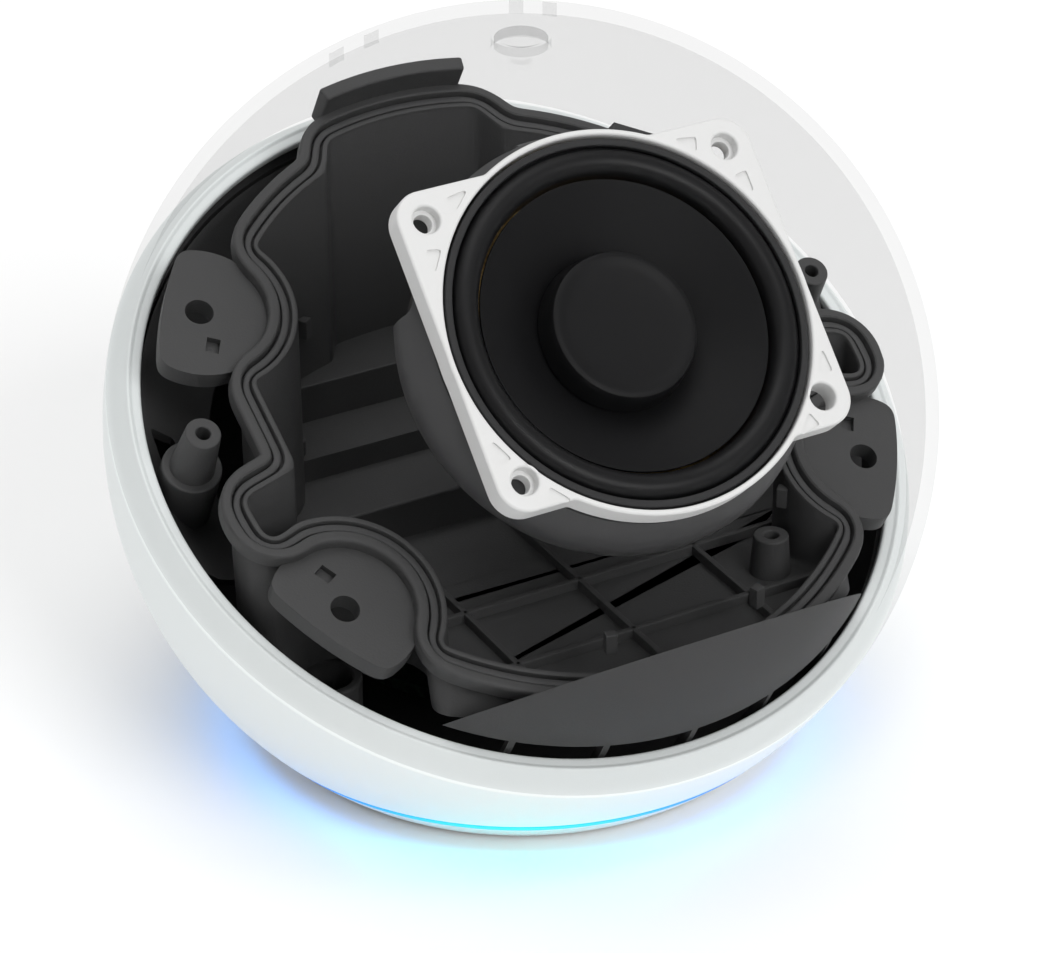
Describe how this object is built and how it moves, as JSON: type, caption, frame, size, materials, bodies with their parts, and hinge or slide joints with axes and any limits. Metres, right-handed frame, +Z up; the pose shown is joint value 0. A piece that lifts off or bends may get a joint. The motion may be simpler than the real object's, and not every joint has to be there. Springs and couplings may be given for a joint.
{
  "type": "smart speaker",
  "caption": "Ball-shaped table speaker with a see-through front cover, a tilted loudspeaker in a dark acoustic tub, a top button, a glowing light ring and a round foot.",
  "frame": {"origin": "centre of the base, on the surface the speaker stands on", "axes": "+Z up, -Y towards the front where the loudspeaker faces, +X to the right seen from the front"},
  "size_m": [0.1, 0.0998, 0.0888],
  "materials": {
    "white_plastic": "fine satin moulding",
    "clear_cover": "clear, faintly grey",
    "charcoal_plastic": "fine matt moulding",
    "black_plastic": "matt moulding",
    "driver_white": "pale satin paint",
    "rubber": "soft satin",
    "paper_cone": "matt, slightly fibrous",
    "light_diffuser": "frosted, lit from inside",
    "circuit_board": "solder mask",
    "steel": "plated",
    "copper": "enamelled wire",
    "ferrite": "fired ferrite",
    "spider_cloth": "resin-dipped cloth"
  },
  "bodies": {
    "housing": {"rear_shell": "white_plastic", "front_cover": "clear_cover", "inner_chassis": "charcoal_plastic", "light_ring": "light_diffuser", "base_ring": "white_plastic", "base_plate": "black_plastic", "rubber_foot": "rubber", "base_screw_1": "steel", "base_screw_2": "steel", "base_screw_3": "steel", "base_screw_4": "steel", "ring_board": "circuit_board", "main_board": "circuit_board", "processor_shield": "steel", "amplifier_chip": "black_plastic", "power_inductor": "ferrite", "power_jack": "black_plastic", "audio_jack": "black_plastic", "acoustic_tub": "charcoal_plastic", "tub_seal": "rubber", "front_skirt": "charcoal_plastic", "driver_frame": "driver_white", "driver_gasket": "rubber", "surround": "rubber", "spider": "spider_cloth", "driver_basket": "charcoal_plastic", "top_plate": "steel", "magnet": "ferrite", "pole_yoke": "steel", "terminal_block": "black_plastic", "speaker_lead": "rubber", "lead_connector": "black_plastic", "front_baffle": "clear_cover", "tact_switch": "clear_cover", "button_board": "clear_cover", "microphone_left": "clear_cover", "microphone_right": "clear_cover"},
    "diaphragm": {"cone": "paper_cone", "dust_cap": "paper_cone", "coil_former": "paper_cone", "voice_coil": "copper"},
    "button": {"top_button": "clear_cover"}
  },
  "joints": [
    {"name": "diaphragm_travel", "type": "slide", "parent": "housing", "child": "diaphragm", "axis": [0, -0.7071, 0.7071], "range_m": [-0.0015, 0.0015], "stiffness_N_per_m": 1200},
    {"name": "top_button_press", "type": "slide", "parent": "housing", "child": "button", "axis": [0, 0, -1], "range_m": [0, 0.0004], "stiffness_N_per_m": 800}
  ]
}
